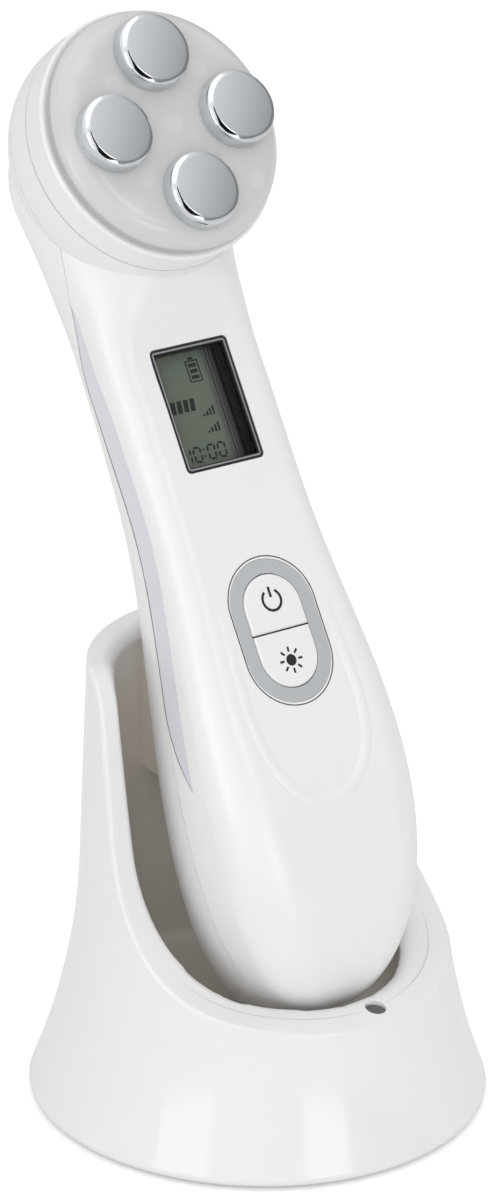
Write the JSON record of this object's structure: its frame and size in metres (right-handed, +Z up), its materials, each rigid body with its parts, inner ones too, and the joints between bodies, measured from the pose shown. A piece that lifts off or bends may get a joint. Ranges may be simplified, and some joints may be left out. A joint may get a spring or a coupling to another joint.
{
  "type": "led facial device",
  "caption": "Handheld facial light and electrode device with a round chrome-tipped head, small display and press buttons, leaning in a white round cup stand.",
  "frame": {"origin": "centre of the stand's underside, on the non-slip pad that it stands on", "axes": "+Z up, -Y the front, which the display, the buttons and the electrodes face, +X to the right in the front view"},
  "size_m": [0.0874, 0.1089, 0.2021],
  "materials": {
    "white_shell": "gloss",
    "white_button": "satin",
    "side_strip": "satin",
    "milky_lens": "gloss translucent",
    "electrode": "mirror polish",
    "silver_trim": "satin plated",
    "clear_window": "gloss",
    "black_frame": "gloss",
    "display_glass": "satin",
    "light_guide": "satin",
    "circuit_board": "satin",
    "white_board": "matt",
    "component": "matt",
    "emitter": "gloss clear",
    "cell_sleeve": "satin",
    "foam": "matt",
    "steel": "bright",
    "ribbon": "satin",
    "white_stand": "gloss",
    "grey_pad": "matt"
  },
  "bodies": {
    "stand": {"stand_shell": "white_stand", "base_plate": "white_stand", "base_screws": "steel", "non_slip_pad": "grey_pad"},
    "handset": {"front_shell": "white_shell", "rear_shell": "white_shell", "head_collar": "white_shell", "side_strip_left": "side_strip", "side_strip_right": "side_strip", "head_lens": "milky_lens", "electrode_top": "electrode", "electrode_left": "electrode", "electrode_right": "electrode", "electrode_bottom": "electrode", "electrode_nuts": "steel", "light_board": "white_board", "light_emitters": "emitter", "display_window": "clear_window", "display_frame": "black_frame", "display_panel": "display_glass", "display_backlight": "light_guide", "button_surround": "silver_trim", "key_switches": "component", "main_board": "circuit_board", "board_parts": "component", "board_screws": "steel", "lithium_cell": "cell_sleeve", "cell_pad": "foam", "charging_inlet": "component", "head_ribbon": "ribbon"},
    "power_key": {"power_button": "white_button", "power_plunger": "component"},
    "light_key": {"light_button": "white_button", "light_plunger": "component"}
  },
  "joints": [
    {"name": "handset_lift", "type": "slide", "parent": "stand", "child": "handset", "axis": [0, 0, 1], "range_m": [0, 0.1]},
    {"name": "power_button_press", "type": "slide", "parent": "handset", "child": "power_key", "axis": [0, 0.8348, -0.5505], "range_m": [0, 0.0006], "stiffness_N_per_m": 800},
    {"name": "light_button_press", "type": "slide", "parent": "handset", "child": "light_key", "axis": [0, 0.8348, -0.5505], "range_m": [0, 0.0006], "stiffness_N_per_m": 800}
  ]
}
